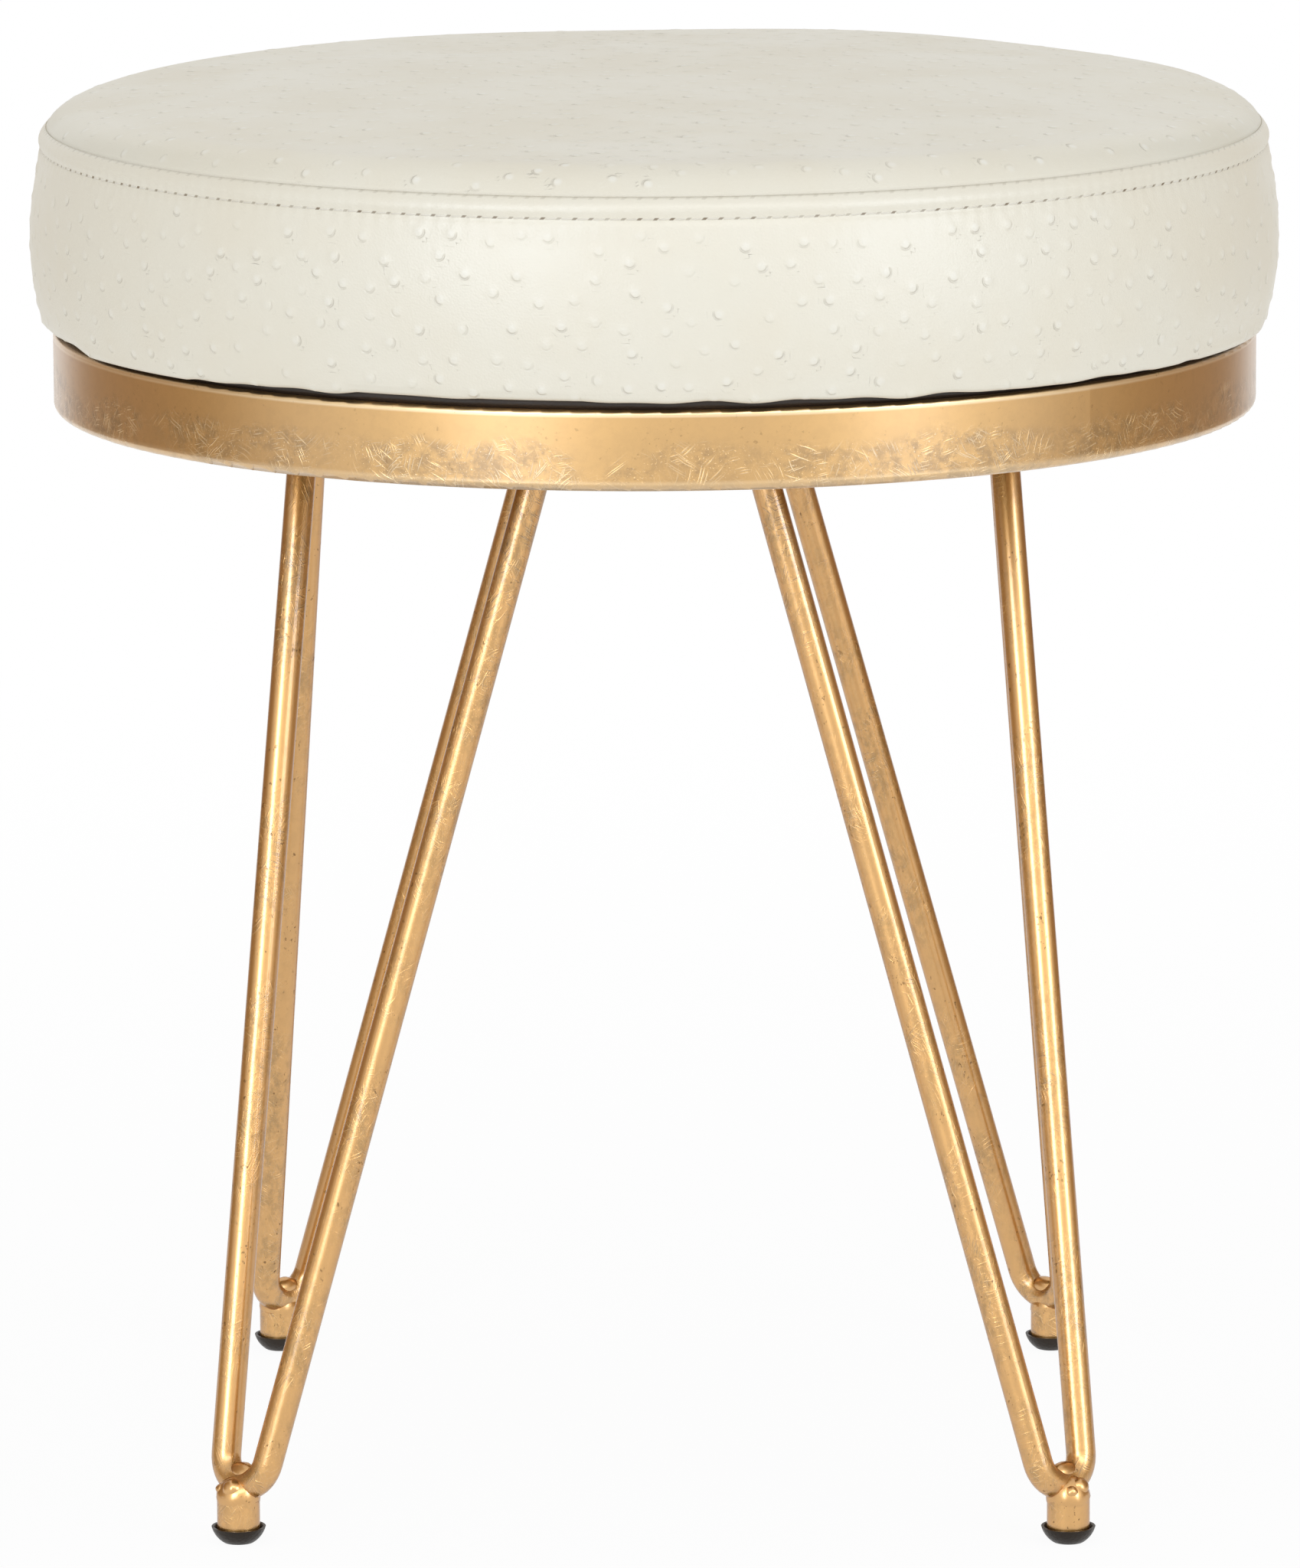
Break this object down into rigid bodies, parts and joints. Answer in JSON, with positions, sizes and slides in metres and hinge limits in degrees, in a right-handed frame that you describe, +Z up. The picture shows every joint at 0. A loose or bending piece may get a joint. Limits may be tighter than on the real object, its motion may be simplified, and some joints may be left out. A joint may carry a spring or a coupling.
{
  "type": "round bench",
  "caption": "Round bench with a crowned cream leather cushion on a gold ring, carried by splayed hairpin legs with plastic glides.",
  "frame": {"origin": "on the floor, under the middle of the seat", "axes": "+Z up the bench's axis, +X towards leg 1; legs 2 to 4 follow anticlockwise seen from above"},
  "size_m": [0.4245, 0.4246, 0.4752],
  "materials": {
    "gold_leaf": "gold leaf on steel, satin, with fine creases and dark specks",
    "cream_leather": "satin cream leather embossed with raised quill marks",
    "foam": "open-cell cushion foam",
    "plywood": "raw plywood",
    "black_cloth": "black non-woven underlining",
    "screw_steel": "zinc-plated screws",
    "black_plastic": "black-brown moulded plastic, satin"
  },
  "bodies": {
    "root": {"apron_ring": "gold_leaf", "seat_board": "plywood", "dust_cover": "black_cloth", "cover_top_panel": "cream_leather", "cover_side_band": "cream_leather", "seat_foam": "foam", "ring_screws": "screw_steel", "leg_screws": "screw_steel", "leg_1_rod": "gold_leaf", "leg_1_bar": "gold_leaf", "leg_1_stub": "gold_leaf", "leg_1_weld": "gold_leaf", "leg_1_glide": "black_plastic", "leg_2_rod": "gold_leaf", "leg_2_bar": "gold_leaf", "leg_2_stub": "gold_leaf", "leg_2_weld": "gold_leaf", "leg_2_glide": "black_plastic", "leg_3_rod": "gold_leaf", "leg_3_bar": "gold_leaf", "leg_3_stub": "gold_leaf", "leg_3_weld": "gold_leaf", "leg_3_glide": "black_plastic", "leg_4_rod": "gold_leaf", "leg_4_bar": "gold_leaf", "leg_4_stub": "gold_leaf", "leg_4_weld": "gold_leaf", "leg_4_glide": "black_plastic"}
  },
  "joints": []
}
